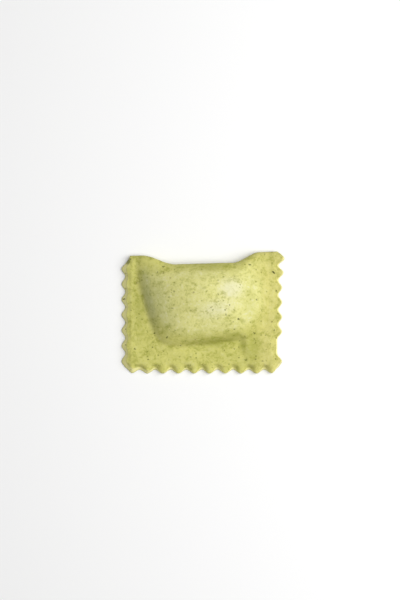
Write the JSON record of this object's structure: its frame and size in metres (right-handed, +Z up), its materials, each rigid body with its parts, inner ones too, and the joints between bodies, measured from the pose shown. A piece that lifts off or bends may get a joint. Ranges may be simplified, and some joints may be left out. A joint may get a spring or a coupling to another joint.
{
  "type": "ravioli",
  "caption": "Single green pasta parcel: a sheet folded over a mound of filling, pressed flat around it and cut with a fluted edge on three sides.",
  "frame": {"origin": "centre of the bounding box, on the table the parcel rests on", "axes": "+X along the long side, to the right in the picture; +Y towards the fold, up in the picture; +Z up, away from the table"},
  "size_m": [0.055, 0.041, 0.0113],
  "materials": {
    "green_pasta": "semi-matte fresh pasta dough, pale yellow-green, mottled and flecked with darker green, with paler cut edges"
  },
  "bodies": {
    "root": {"ravioli": "green_pasta"}
  },
  "joints": []
}
